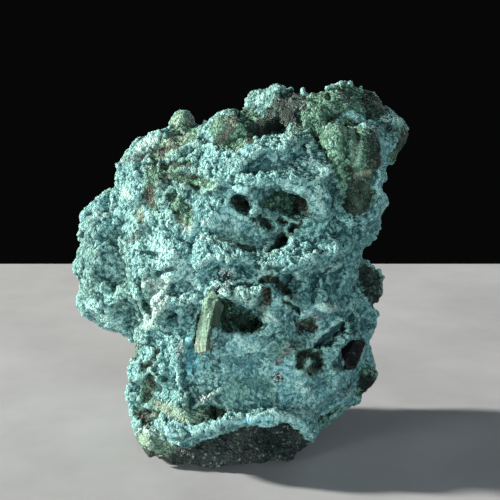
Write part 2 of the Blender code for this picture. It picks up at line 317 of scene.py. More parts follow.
        ((172, 318, 5),),
        ((220, 276, 3), (227, 277, 5), (235, 277, 3)),
        ((213, 291, 2), (219, 289, 4), (225, 286, 3)),
        ((232, 285, 2), (250, 285, 2)),
        ((262, 250, 4), (272, 240, 4), (280, 230, 3)),
        ((256, 222, 5), (262, 214, 4)),
        ((256, 169, 3), (265, 165, 5), (276, 161, 5), (287, 165, 4)),
        ((258, 264, 2), (267, 266, 3), (276, 268, 2)),
        ((176, 430, 2.5), (184, 437, 3), (192, 434, 2)),
        ((320, 149, 2), (330, 160, 2), (340, 178, 2)),
        ((340, 366, 8), (350, 350, 9)),
        ((361, 342, 4),),
        ((345, 390, 2), (349, 384, 2)),
        ((338, 405, 1.5),),
        ((283, 384, 1.5),),
        ((316, 426, 1.5), (328, 416, 1.5)),
    ),
    # Crust in large, round domes.
    "grapes": (
        ((92, 232, 26), (88, 262, 28), (100, 292, 24), (114, 322, 18)),
        ((110, 212, 16), (120, 240, 12)),
        ((128, 275, 12), (130, 300, 14)),
        ((160, 330, 10), (150, 350, 8)),
    ),
    # Grey-black malachite, painted darker still on the crown's shaded face, as painted shade.
    "ash_and_shade": (
        ((293, 98, 11), (290, 110, 12), (282, 122, 12), (274, 130, 9)),
        ((284, 98, 7), (276, 112, 9), (266, 124, 9), (262, 135, 5)),
        ((301, 106, 6),),
        ((364, 273, 8), (370, 283, 10), (374, 296, 8)),
        ((366, 383, 10),),
        ((274, 100, 4), (252, 104, 4)),
    ),
    # Pale olive malachite.
    "olive": (
        ((184, 135, 7), (172, 143, 10), (160, 153, 9)),
        ((212, 297, 7), (209, 312, 8), (204, 328, 8), (201, 343, 7)),
        ((180, 121, 10),),
        ((268, 207, 4),),
        ((140, 436, 12), (155, 440, 12), (165, 450, 8)),
        ((158, 405, 8), (180, 413, 10), (198, 417, 8)),
    ),
    # Malachite that is nearly black; much of it is painted shade, in pits and hollows and on the
    # shaded right sides of knobs and bulbs.
    "dark": (
        ((238, 202, 9), (244, 208, 9)),
        ((299, 206, 8),),
        ((252, 223, 2),),
        ((227, 276, 4),),
        ((219, 289, 3),),
        ((262, 221, 3), (269, 226, 4)),
        ((279, 221, 3), (284, 223, 2.5)),
        ((292, 228, 3.5), (298, 225, 4), (303, 222, 2)),
        ((283, 239, 5), (278, 244, 4.5), (271, 250, 2)),
        ((239, 246, 2), (247, 249, 3.5), (255, 249, 2)),
        ((261, 281, 3), (268, 278, 5), (275, 280, 5), (283, 287, 5), (290, 295, 4)),
        ((283, 301, 2), (292, 306, 2), (300, 314, 2.5)),
        ((222, 303, 4), (222, 318, 4), (228, 330, 4)),
        ((234, 318, 6), (250, 325, 5)),
        ((268, 290, 5), (267, 298, 5)),
        ((300, 366, 5), (301, 357, 5), (309, 352, 5), (318, 357, 5), (319, 366, 5), (312, 371, 4)),
        ((208, 411, 5), (215, 411, 6), (224, 413, 3)),
        ((190, 398, 4), (192, 404, 2)),
        ((200, 315, 2), (198, 330, 2.5), (195, 342, 2)),
        ((218, 304, 4), (216, 322, 4), (211, 338, 4)),
        ((255, 127, 9), (270, 130, 8), (252, 141, 6)),
        ((368, 98, 9), (373, 104, 10), (380, 112, 7), (370, 114, 5)),
        ((335, 117, 4), (345, 115, 4)),
        ((374, 134, 6), (377, 150, 9), (377, 164, 9), (370, 176, 7)),
        ((285, 108, 5), (292, 118, 6)),
        ((358, 188, 13), (357, 203, 15)),
        ((278, 377, 4),),
        ((365, 383, 8),),
        ((378, 299, 6),),
        ((405, 136, 7), (398, 149, 5)),
        ((141, 285, 2), (143, 296, 3), (147, 308, 3)),
        ((157, 275, 1.5), (170, 269, 2)),
        ((302, 327, 4), (310, 327, 6)),
        ((122, 321, 2),),
        ((94, 264, 2.5),),
        ((142, 418, 5), (150, 420, 5)),
        ((154, 164, 2.5), (163, 167, 4), (171, 163, 4), (190, 164, 2)),
        ((160, 180, 3), (182, 186, 2.5), (205, 189, 2)),
        ((150, 188, 4), (152, 204, 4)),
        ((160, 152, 3), (176, 146, 2)),
        ((222, 136, 3), (214, 146, 3)),
    ),
}
# Marks that fade out at their edges.
SOFT_MARKS = ("mossy", "teal_and_shade", "cream", "fine")

# The foot of broken malachite, as the marks are.
FOOT = (
    ((142, 441, 9), (155, 446, 9), (172, 454, 8), (190, 458, 12)),
    ((190, 456, 10), (215, 455, 17), (245, 450, 23), (270, 447, 26), (286, 442, 20)),
    ((300, 448, 10), (310, 450, 8)),
)

# Forms of the surface: height in millimetres, then the line of discs that they run along.
FORMS = (
    (2.0, ((206, 226, 15), (204, 252, 15), (202, 280, 12))),
    (-1.5, ((127, 240, 7), (130, 262, 8), (138, 285, 6))),
    (-1.8, ((147, 232, 14), (149, 258, 14))),
    (-1.4, ((112, 258, 18), (118, 275, 14))),
    (-1.6, ((232, 231, 15), (254, 238, 12))),
    (1.7, ((221, 126, 10), (236, 128, 10))),
    (-1.8, ((259, 127, 9), (272, 127, 7))),
    (2.6, ((182, 121, 10),)),
    (-1.2, ((200, 122, 6),)),
    (2.4, ((144, 438, 9), (152, 450, 7))),
    (1.2, ((338, 132, 12), (338, 150, 10))),
    (1.6, ((351, 128, 5), (352, 144, 6), (351, 160, 6))),
    (3.2, ((364, 140, 13), (361, 158, 12))),
    (1.2, ((212, 186, 7), (228, 172, 9), (245, 158, 9), (262, 146, 8))),
    (1.0, ((250, 154, 5), (266, 149, 5), (284, 148, 5), (298, 147, 4))),
    (-2.4, ((252, 169, 6), (266, 164, 9), (284, 160, 10), (299, 154, 8))),
    (0.9, ((262, 143, 5), (280, 141, 5), (296, 139, 6), (312, 144, 6))),
    (1.8, ((309, 150, 6), (314, 162, 7), (323, 173, 7), (321, 186, 8), (320, 200, 8),
           (324, 212, 7))),
    (1.1, ((238, 178, 5), (258, 180, 6), (276, 180, 6), (295, 179, 6), (311, 183, 5))),
    (-0.9, ((318, 147, 3), (326, 156, 3), (334, 168, 3), (340, 182, 3))),
    (1.6, ((284, 184, 4), (300, 188, 4), (313, 196, 4), (318, 209, 4))),
    (-2.6, ((220, 105, 7), (234, 103, 7), (240, 106, 5))),
    (-1.5, ((240, 110, 4), (246, 116, 4))),
    (0.8, ((226, 204, 4), (232, 192, 5), (244, 189, 5), (253, 196, 4))),
    (1.6, ((200, 266, 6), (212, 257, 7), (226, 257, 7), (242, 258, 6), (262, 263, 6),
           (285, 264, 6))),
    (1.9, ((285, 264, 6), (305, 263, 6), (322, 256, 6), (335, 248, 7), (346, 245, 6))),
    (-1.0, ((238, 270, 4), (248, 272, 4))),
    (-1.0, ((322, 276, 5), (336, 274, 6), (346, 268, 5))),
    (1.0, ((262, 274, 5), (275, 272, 5))),
    (1.1, ((300, 275, 6), (306, 284, 5))),
    (1.1, ((325, 271, 6), (340, 265, 5))),
    (-1.5, ((291, 281, 6), (294, 300, 5))),
    (-1.5, ((315, 280, 5), (314, 298, 4))),
    (-1.2, ((325, 234, 6), (345, 236, 6))),
    (1.8, ((226, 292, 5), (240, 294, 9), (252, 298, 8), (262, 288, 6))),
    (-1.4, ((202, 312, 3), (200, 328, 3), (197, 342, 3))),
    (-1.2, ((212, 304, 7), (209, 320, 8), (204, 344, 6))),
    (-2.2, ((219, 322, 3), (214, 335, 5), (210, 348, 4))),
    (1.5, ((321, 307, 4), (336, 308, 4))),
    (0.8, ((350, 333, 4), (344, 345, 4), (337, 360, 4))),
    (1.0, ((310, 341, 4), (325, 333, 4), (341, 321, 4))),
    (1.5, ((195, 328, 5), (185, 345, 5), (177, 362, 6), (179, 382, 6), (186, 400, 5))),
    (-0.5, ((190, 345, 5), (192, 362, 7), (196, 380, 7))),
    (-1.4, ((190, 398, 5), (193, 405, 3))),
    (1.0, ((195, 407, 3), (208, 398, 4), (218, 391, 3))),
    (0.6, ((164, 407, 6), (185, 415, 8), (200, 417, 6))),
    (-1.4, ((151, 381, 5), (147, 394, 7))),
    (1.0, ((134, 380, 8),)),
    (0.7, ((134, 398, 6),)),
    (1.2, ((147, 407, 4),)),
    (-1.2, ((142, 416, 6), (150, 414, 4))),
    (1.2, ((166, 430, 7), (185, 435, 7), (204, 430, 6), (225, 423, 5), (250, 418, 4),
           (275, 414, 4))),
    (1.0, ((275, 414, 4), (291, 418, 4), (304, 428, 7), (310, 437, 6))),
    (-1.6, ((122, 298, 6), (129, 311, 9), (132, 323, 6))),
    (-1.8, ((140, 284, 3), (142, 296, 4), (147, 309, 4))),
    (-1.4, ((156, 276, 3), (172, 268, 2.5))),
    (-1.3, ((127, 245, 3), (135, 237, 4), (143, 228, 3))),
    (-1.2, ((173, 321, 6),)),
    (-0.8, ((167, 313, 3), (178, 309, 3), (192, 307, 3))),
    (-1.0, ((145, 368, 3), (152, 360, 3), (158, 350, 3))),
    (-1.2, ((330, 117, 3), (345, 116, 3), (356, 124, 3))),
    (-0.9, ((298, 112, 4), (300, 122, 4))),
    (-1.4, ((275, 118, 6), (278, 130, 6), (262, 136, 5))),
    (-1.1, ((330, 95, 4),)),
    (0.9, ((178, 204, 7),)),
    (-1.0, ((165, 161, 4), (180, 157, 4), (192, 150, 4))),
    (0.8, ((181, 159, 5), (195, 155, 5))),
    (0.8, ((182, 171, 5), (195, 170, 5))),
    (0.9, ((214, 192, 4), (217, 205, 4))),
    (0.7, ((378, 190, 5), (382, 203, 6))),
    (1.0, ((386, 120, 6), (398, 124, 5))),
    (-0.8, ((388, 127, 4),)),
    (0.9, ((306, 366, 3), (309, 358, 3))),
)

# Small hollows sunk along the view: depth in millimetres, then the line of discs.
SINKS = (
    (4.0, ((238, 201, 7), (243, 206, 7))),
    (3.6, ((268, 204, 5), (281, 200, 9), (297, 205, 11), (306, 209, 7))),
    (1.8, ((252, 222, 2), (253, 224, 2))),
    (2.2, ((262, 221, 3.5), (269, 226, 4))),
    (1.8, ((279, 221, 3), (284, 223, 2.5))),
    (2.6, ((292, 228, 3.5), (298, 225, 4), (303, 222, 2))),
    (2.6, ((283, 239, 5), (278, 244, 4.5), (271, 250, 2.5))),
    (2.0, ((239, 246, 2), (247, 249, 3.5), (255, 249, 2.5))),
    (3.2, ((226, 303, 6), (231, 315, 9), (244, 321, 11), (256, 325, 8))),
    (2.6, ((222, 312, 6), (226, 322, 7), (232, 329, 6))),
    (3.0, ((260, 281, 3), (268, 279, 5), (276, 281, 5), (284, 288, 5), (291, 296, 4))),
    (2.0, ((268, 290, 4), (267, 298, 4))),
    (1.4, ((284, 302, 2), (300, 314, 2.5))),
    (2.0, ((302, 328, 5), (310, 325, 7))),
    (3.0, ((319, 345, 3), (328, 340, 5), (337, 334, 6), (342, 327, 4))),
    (1.6, ((278, 377, 5),)),
    (2.6, ((345, 364, 9), (352, 350, 9), (357, 356, 6))),
    (2.0, ((214, 411, 6), (224, 412, 4))),
    (1.4, ((227, 277, 6),)),
    (1.2, ((219, 289, 4),)),
    (1.4, ((232, 285, 2), (250, 285, 2))),
    (1.4, ((301, 366, 4), (301, 357, 4), (309, 353, 4), (318, 358, 4), (318, 366, 4))),
    (1.4, ((340, 408, 2), (330, 414, 2.5), (320, 423, 3))),
    (1.6, ((172, 318, 5),)),
)

# Rings of small crystals: centre in the frame, radius, and how many.
DRUSES = (
    (223, 272, 4, 16),
    (232, 273, 4.5, 22),
    (228, 282, 4, 16),
    (215, 287, 3.5, 14),
    (223, 291, 3.5, 12),
    (278, 377, 5, 30),
    (204, 398, 4, 20),
)

# How far a mark reaches in front of and behind the places it lands on, in millimetres.
MARK_REACH = 6.0
# How far noise bends the edges of marks, in frame units.
MARK_DRIFT = 2.6
# How softly marks end, in frame units: most of them, and those in SOFT_MARKS.
SHARP_EDGE = 0.7
SOFT_EDGE = 3.0
# The share of its radius in which a hollow comes to its depth: less is steeper.
SINK_SLOPE = 0.6
# How far the foot draws in just above the table, in millimetres.
FOOT_UNDERCUT = 1.3

# Widths of the grains of the crust, in millimetres.
LOBE = 1.9
BEAD = 0.95
CRUMB = 0.62

# Round beads set into the crust: how many, the least radius, and how much more the largest has.
BEADS = 2600
BEAD_LEAST = 0.35
BEAD_MORE = 0.55

BEAD_SEED = 11
DRUSE_SEED = 5

# The ends of the two large crystals: places in the frame, and how far they stand out to the
# viewer, in millimetres.
FINGER_ENDS = ((218, 291, -0.4), (205, 353, 1.7))
DARK_ENDS = ((356, 341, -1.7), (343, 373, -1.0))

# The size of the mesh of these two, in millimetres.
FINGER_VOXEL = 0.2
DARK_VOXEL = 0.15

# How far one measure of evening reaches along the surface, in millimetres.
EVENING = 0.8

# The table, in metres: its width and depth, and where its middle lies.
TABLE_SIDES = (1.6, 0.87)
TABLE_MIDDLE = (0, -0.265, 0)

# The room as the camera sees it, and the faint light that it gives.
ROOM_SEEN = (0.0022, 0.0022, 0.0024, 1)
ROOM_GLOW = (0.06, 0.072, 0.082, 1)

# Round lamps that point at MIDDLE: place and width in metres, power in watts, and colour.
MIDDLE = (0, 0, 0.045)
LAMPS = {
    "key": ((-3.52, 0.6, 1.46), 0.32, 455, (1, 0.98, 0.93)),
    "fill": ((0.64, -1.84, 0.27), 0.9, 24, (0.76, 0.91, 1)),
    "side": ((-1.5, -1.2, 0.15), 0.6, 38, (0.94, 0.97, 1)),
    "far": ((1.8, 2.6, 0.9), 1.0, 30, (0.9, 0.96, 1)),
}


# ---------------------------------------------------------------------------
# Places and patterns


def clamp(values, low=0.0, high=1.0):
    return np.clip(values, low, high)


def smoothstep(low, high, values):
    share = clamp((values - low) / (high - low))
    return share * share * (3 - 2 * share)


def in_frame(places):
    """Where places in millimetres lie in the camera's frame: u, v and how far along the view."""
    sine, cosine = math.sin(PITCH), math.cos(PITCH)
    across, along, up = (places - AIM).T
    depth = DISTANCE + along * cosine - up * sine
    scale = LENS / SENSOR * FRAME_SIDE / depth
    u = FRAME_SIDE / 2 + across * scale
    v = FRAME_SIDE / 2 - (along * sine + up * cosine) * scale
    return u, v, depth


def eye():
    return AIM + DISTANCE * np.array((0, -math.cos(PITCH), math.sin(PITCH)))


def ray_through(u, v):
    sine, cosine = math.sin(PITCH), math.cos(PITCH)
    focal = LENS / SENSOR * FRAME_SIDE
    across, up = (u - FRAME_SIDE / 2) / focal, (FRAME_SIDE / 2 - v) / focal
    return Vector((across, cosine + up * sine, up * cosine - sine)).normalized()


def landing(tree, u, v):
    """Where the frame's point u, v falls on the surface, in millimetres, and the normal there."""
    place, normal, _, _ = tree.ray_cast(Vector(eye() * MM), ray_through(u, v))
    return (np.array(place) / MM, np.array(normal)) if place else (None, None)


def depth_at(tree, u, v):
    place, _ = landing(tree, u, v)
    return in_frame(place[None, :])[2][0] if place is not None else None


def wander(places, size, shift=0.0):
    """Smooth noise from -1 to 1, with swells about this many millimetres wide."""
    spots = (places / size + shift).tolist()
    return np.array([noise.noise(spot) for spot in spots])


def domes(places, size, shift=0.0, roundness=1.35):
    """Grape-like domes, 1 at each top and 0 in the valleys, this many millimetres apart."""
    spots = (places / size + shift).tolist()
    nearest = [noise.voronoi(spot, distance_metric="DISTANCE_SQUARED")[0][0] for spot in spots]
    return np.sqrt(clamp(1 - np.array(nearest) * roundness))


def cracks(places, size, shift=0.0):
    """Thin lines between cells this many millimetres wide: 1 on the line and 0 away from it."""
    spots = (places / size + shift).tolist()
    nearest = np.array([noise.voronoi(spot)[0][:2] for spot in spots])
    return smoothstep(0.16, 0.02, nearest[:, 1] - nearest[:, 0])


def broken(places, size, shift):
    """Flat facets at odd slants, as on broken stone."""
    heights = []
    for spot in (places / size + shift).tolist():
        centre = noise.voronoi(spot)[1][0]
        slant = noise.cell_vector(centre * 3.7)
        heights.append((Vector(spot) - centre).dot(slant - Vector((0.5, 0.5, 0.5))))
    return np.array(heights) * size * 0.45


def drifted(places):
    """The frame places of the surface, bent by noise so that no edge runs straight."""
    u, v, depth = in_frame(places)
    u = u + MARK_DRIFT * (wander(places, 2.4, 3.1) + 0.6 * wander(places, 0.9, 6.4))
    v = v + MARK_DRIFT * (wander(places, 2.4, 8.7) + 0.6 * wander(places, 0.9, 1.9))
    return u, v, depth


def along_line(view, line, tree, spread=1.0):
    """How far inside a line of discs each place is, in frame units, and the disc's radius there."""
    u, v, depth = view
    inside = np.full(len(u), -99.0)
    radius = np.ones(len(u))
    landed = [depth_at(tree, at[0], at[1]) for at in line]
    stops = [(at, how) for at, how in zip(line, landed) if how is not None]
    for (first, near), (last, far) in zip(stops, stops[1:] or stops):
        widest = max(first[2], last[2]) * spread + 2
        close = np.flatnonzero(
            (u > min(first[0], last[0]) - widest)
            & (u < max(first[0], last[0]) + widest)
            & (v > min(first[1], last[1]) - widest)
            & (v < max(first[1], last[1]) + widest)
        )
        run = (last[0] - first[0], last[1] - first[1])
        length = max(run[0] ** 2 + run[1] ** 2, 1e-9)
        across, down = u[close] - first[0], v[close] - first[1]
        share = clamp((across * run[0] + down * run[1]) / length)
        away = np.hypot(across - share * run[0], down - share * run[1])
        wide = first[2] + share * (last[2] - first[2])
        adrift = abs(depth[close] - near - share * (far - near)) - MARK_REACH
        gap = wide * spread - away - 4 * np.maximum(adrift, 0)
        better = gap > inside[close]
        inside[close[better]] = gap[better]
        radius[close[better]] = wide[better]
    return inside, radius


def patch(view, lines, tree, ragged=0.0, edge=SHARP_EDGE):
    """1 inside the lines of discs and 0 outside."""
    deepest = np.full(len(view[0]), -99.0)
    for line in lines:
        inside, radius = along_line(view, line, tree, spread=1.25)
        deepest = np.maximum(deepest, inside - 0.25 * radius + ragged * np.minimum(radius / 6, 1))
    return smoothstep(-edge, edge, deepest)


def swell(view, forms, tree, slope=1.0):
    """Heights in millimetres of forms that rise or sink along their lines.

    The slope is the share of a form's radius in which it comes to its full height.
    """
    raised = np.zeros(len(view[0]))
    sunk = np.zeros(len(view[0]))
    for height, line in forms:
        inside, radius = along_line(view, line, tree, spread=1.5)
        shape = smoothstep(0, slope, inside / (1.5 * radius)) * height
        raised = np.maximum(raised, shape)
        sunk = np.minimum(sunk, shape)
    return raised + sunk


# ---------------------------------------------------------------------------
# Mesh work


def select_only(piece):
    bpy.ops.object.select_all(action="DESELECT")
    piece.select_set(True)
    bpy.context.view_layer.objects.active = piece


def apply_modifier(piece, kind, **settings):
    select_only(piece)
    modifier = piece.modifiers.new(kind.lower(), kind)
    for name, value in settings.items():
        setattr(modifier, name, value)
    bpy.ops.object.modifier_apply(modifier=modifier.name)


def places_of(piece):
    count = len(piece.data.vertices)
    places = np.zeros(count * 3, np.float32)
    normals = np.zeros(count * 3, np.float32)
    piece.data.vertices.foreach_get("co", places)
    piece.data.vertex_normals.foreach_get("vector", normals)
    return places.reshape(-1, 3).astype(float) / MM, normals.reshape(-1, 3).astype(float)


def set_places(piece, places):
    places[:, 2] = np.maximum(places[:, 2], 0)
    piece.data.vertices.foreach_set("co", (places * MM).astype(np.float32).ravel())
    piece.data.update()


def store(piece, name, values):
    layer = piece.data.attributes.new(name, "FLOAT", "POINT")
    layer.data.foreach_set("value", values.astype(np.float32))


def copy_of_node(name):
    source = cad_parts[name]
    copy = bpy.data.objects.new("rock", source.data.copy())
    bpy.context.scene.collection.objects.link(copy)
    copy.data.materials.clear()
    select_only(copy)
    bpy.ops.object.mode_set(mode="EDIT")
    bpy.ops.mesh.select_all(action="SELECT")
    bpy.ops.mesh.remove_doubles(threshold=1e-6)
    bpy.ops.object.mode_set(mode="OBJECT")
    return copy


def make_rock():
    rock = copy_of_node("specimen")
    apply_modifier(rock, "SUBSURF", levels=2, render_levels=2)
    apply_modifier(rock, "REMESH", mode="VOXEL", voxel_size=VOXEL_COARSE * MM)
    return rock


def tree_of(piece):
    mesh = bmesh.new()
    mesh.from_mesh(piece.data)
    tree = BVHTree.FromBMesh(mesh)
    mesh.free()
    return tree


def evened(piece, places, rounds):
    """The places after each has moved to the middle of its neighbours, this many times."""
    count = len(piece.data.edges)
    ends = np.zeros(count * 2, np.int32)
    piece.data.edges.foreach_get("vertices", ends)
    first, last = ends.reshape(-1, 2).T
    size = len(places)
    shares = np.bincount(first, minlength=size) + np.bincount(last, minlength=size) + 1
    for _ in range(rounds):
        columns = []
        for axis in range(3):
            values = places[:, axis]
            total = values + np.bincount(first, values[last], size)
            total += np.bincount(last, values[first], size)
            columns.append(total / shares)
        places = np.stack(columns, 1)
    return places


def masks(places, normals, tree):
    """How far each mark covers each place, from 0 to 1: finishes, and painted shade and highlight.
    """
    view = drifted(places)
    ragged = 3.0 * (0.62 - domes(places, BEAD, 4.1)) + 2.0 * wander(places, 1.2, 13.3)
    found = {}
    for kind, lines in MARKS.items():
        edge = SOFT_EDGE if kind in SOFT_MARKS else SHARP_EDGE
        found[kind] = patch(view, lines, tree, ragged, edge)
    # The far side carries malachite, brown stain and smooth places of its own.
    back = smoothstep(0.05, 0.5, normals[:, 1])
    drift = wander(places, 15, 11.3) + 0.4 * wander(places, 5, 2.2)
    drift += 0.15 * wander(places, 1.5, 4.2)
    green = back * smoothstep(0.12, 0.2, drift + 0.03 * ragged)
    found["malachite"] = np.maximum(found["malachite"], green)
    found["dark"] = np.maximum(found["dark"], green * smoothstep(0.0, 0.3, wander(places, 7, 5.5)))
    stain = wander(places, 9, 21.7) + 0.5 * wander(places, 2.5, 5.2)
    found["brown"] = np.maximum(found["brown"], back * smoothstep(0.36, 0.5, stain))
    found["brown"] *= 1 - found["ash_and_shade"]
    calm = wander(places, 12, 31.7) + 0.3 * wander(places, 4, 3.2)
    found["smooth"] = np.maximum(found["smooth"], back * smoothstep(0.1, 0.25, calm))
    found["teal_and_shade"] = np.maximum(found["teal_and_shade"], back * smoothstep(0.2, 0.4, wander(places, 6, 41.7)))
    low = smoothstep(10.5, 9.5, places[:, 2] + 2.0 * wander(places, 6, 9.9))
    low = low * smoothstep(-0.1, 0.25, normals[:, 1] - 0.3)
    front = patch(view, FOOT, tree)
    found["foot"] = np.maximum(np.maximum(front, low), smoothstep(4.5, 3.5, places[:, 2]))
    found["malachite"] = np.maximum(found["malachite"], found["foot"])
    return found


def add_beads(rock, found, count=BEADS):
    """Round beads of the crust, more than half sunk into it, joined into the rock's mesh."""
    places, normals = places_of(rock)
    chance = (1 - found["malachite"]) * (1 - found["smooth"]) + 0.25 * found["malachite"]
    chance *= (1 - found["foot"]) * smoothstep(0.25, -0.25, wander(places, 6, 17.0) - 0.1)
    chance *= smoothstep(1.5, 3, places[:, 2]) * (1 - 0.75 * found["grapes"])
    draw = np.random.default_rng(BEAD_SEED)
    chosen = draw.choice(len(places), count, replace=False, p=chance / chance.sum())
    bpy.ops.object.select_all(action="DESELECT")
    bpy.ops.mesh.primitive_ico_sphere_add(subdivisions=2, radius=1)
    pattern = bpy.context.active_object
    shape = np.array([vertex.co[:] for vertex in pattern.data.vertices])
    faces = np.array([face.vertices[:] for face in pattern.data.polygons])
    bpy.data.objects.remove(pattern)
    radius = BEAD_LEAST + BEAD_MORE * draw.random(count) ** 2
    squeeze = draw.uniform(0.7, 1.3, (count, 1, 3))
    centres = places[chosen] + normals[chosen] * (radius * draw.uniform(-0.7, -0.1, count))[:, None]
    corners = centres[:, None, :] + shape[None] * squeeze * radius[:, None, None]
    joined = faces[None] + len(shape) * np.arange(count)[:, None, None]
    beads = bpy.data.meshes.new("beads")
    beads.from_pydata((corners.reshape(-1, 3) * MM).tolist(), [], joined.reshape(-1, 3).tolist())
    beads = bpy.data.objects.new("beads", beads)
    bpy.context.scene.collection.objects.link(beads)
    select_only(rock)
    beads.select_set(True)
    bpy.ops.object.join()


def carve(rock, tree):
    """The forms, the small hollows, and the step where the crust ends over the malachite."""
    places, normals = places_of(rock)
    found = masks(places, normals, tree)
    view = drifted(places)
    crust = 1 - found["malachite"]
    lumpy = crust * (1 - 0.8 * found["smooth"])
    # The forms, then lumps and broken steps in the crust, then knobs in the malachite.
    height = swell(view, FORMS, tree)
    height += 0.45 * crust - 0.75 + 0.8 * lumpy * (domes(places, 4.4, 1.3) - 0.6)
    height += lumpy * (0.55 * domes(places, 2.6, 6.3) - 0.3)
    cuts = np.minimum(broken(places, 9.0, 4.6), 0)
    height += lumpy * (0.7 * broken(places, 5.5, 1.7) + 0.9 * cuts)
    height += 0.6 * (1 - crust) * (1 - found["foot"]) * (domes(places, 3.2, 5.3) - 0.5)
    height -= 0.5 * found["foot"]
    # Small hollows sink a little along the normal and mostly along the view.
    sight = (eye() - AIM) / DISTANCE
    inward = -(0.4 * normals + 0.6 * sight)
    depth = -swell(view, [(-depth, line) for depth, line in SINKS], tree, SINK_SLOPE)
    depth *= 1 + 0.35 * wander(places, 1.6, 12.1)
    # The foot draws in just above the table, so that a dark line lies under its edge.
    drawn_in = FOOT_UNDERCUT * found["foot"] * smoothstep(3.0, 0.3, places[:, 2])
    places = places - normals * np.array((1, 1, 0)) * drawn_in[:, None]
    set_places(rock, places + normals * height[:, None] + inward * depth[:, None])
    return found


def grain(rock, tree):
    """The grains of the crust, the velvet of the malachite and the broken facets of the foot."""
    places, normals = places_of(rock)
    rounds = (EVENING / VOXEL_FINE) ** 2
    near = evened(rock, normals, round(1.5 * rounds))
    far = evened(rock, near, round(8 * rounds))
    found = masks(places, far / np.linalg.norm(far, axis=1)[:, None], tree)
    crust = 1 - found["malachite"]
    # The crust is roughest in patches, and on faces that look up and to the left, toward the key
    # lamp. The stored rough also sets colour: painted shade on faces turned from the lamp.
    toward_key_lamp = smoothstep(-0.15, 0.5, near @ np.array((-0.62, -0.28, 0.73)))
    patchy = wander(places, 6, 2.9) + 0.5 * wander(places, 2.5, 15.9) + 0.9 * (toward_key_lamp - 0.5)
    rough = crust * (1 - 0.85 * found["smooth"])
    rough *= 1 - 0.4 * np.maximum(found["fine"], found["grapes"])
    rough *= 0.12 + 0.98 * smoothstep(-0.3, 0.3, patchy)
    bent = places + 0.4 * np.stack([wander(places, 1.6, shift) for shift in (1.1, 2.2, 3.3)], 1)
    # Grains of three sizes, facets between them, and the large domes.
    lobes = domes(bent, LOBE, 0.7)
    beads = domes(bent, BEAD, 4.1)
    crumbs = domes(places, CRUMB, 2.4)
    few_crumbs = 0.28 * crumbs * (1 - 0.6 * found["grapes"])
    height = rough * (0.36 * lobes + 0.36 * beads + few_crumbs - 0.62)
    height += rough * 0.45 * broken(bent, 1.3, 7.3)
    height += crust * (0.3 + 0.4 * found["teal_and_shade"]) * broken(places, 2.8, 3.3)
    grapes = domes(bent * np.array((0.75, 0.75, 1.2)), LOBE, 8.2)
    height += 0.65 * crust * found["grapes"] * (grapes - 0.6)
    # Smooth places are streaked and cleft.
    streaks = wander(bent * np.array((1, 1, 1.5)), 1.3, 6.6)
    clefts = cracks(bent, 3.4, 2.2) * smoothstep(0.05, 0.4, wander(places, 4, 7.7))
    hairs = cracks(bent, 1.5, 4.2) * smoothstep(0.0, 0.3, wander(places, 3, 17.7))
    clefts = np.maximum(clefts, hairs)
    calm = 0.1 * streaks + 0.1 * beads + 0.07 * crumbs + 0.12 * lobes - 0.14 * clefts
    height += crust * found["smooth"] * calm
    # Malachite has a fine velvet, and its broken foot has facets.
    velvet = 0.24 * beads + 0.14 * crumbs + 0.12 * lobes - 0.28
    height += found["malachite"] * (1 - found["foot"]) * velvet
    facets = broken(places, 4.2, 0.4) + 0.5 * broken(places, 1.6, 9.1)
    height += found["foot"] * (facets + found["olive"] * (0.4 * beads + 0.2 * crumbs - 0.3))
    flat = smoothstep(0.0, 0.6, places[:, 2])
    set_places(rock, places + normals * (height * flat)[:, None])
    for name, values in found.items():
        store(rock, name, clamp(values))
    store(rock, "streaks", clamp(0.5 + streaks))
    store(rock, "rough", clamp(rough))
    # How far each place stands out from its surroundings, near and wide, for the colours: painted
    # shade in hollows and painted highlight on crests.
    places, normals = places_of(rock)
    small = evened(rock, places, round(rounds))
    store(rock, "small_relief", ((places - small) * normals).sum(1))
    broad = evened(rock, small, round(9 * rounds))
    store(rock, "broad_relief", ((places - broad) * normals).sum(1))


rock = make_rock()
tree = tree_of(rock)
carved = carve(rock, tree)
add_beads(rock, carved)
apply_modifier(rock, "REMESH", mode="VOXEL", voxel_size=VOXEL_FINE * MM)
tree = tree_of(rock)
grain(rock, tree)
rock.data.shade_smooth()


# ---------------------------------------------------------------------------
# Materials


def linear(red, green, blue):
    """A colour given as it shows on a screen, 0 to 255, as Blender's linear values."""
    shown = [part / 255 for part in (red, green, blue)]
    return tuple(p / 12.92 if p <= 0.04045 else ((p + 0.055) / 1.055) ** 2.4 for p in shown) + (1,)


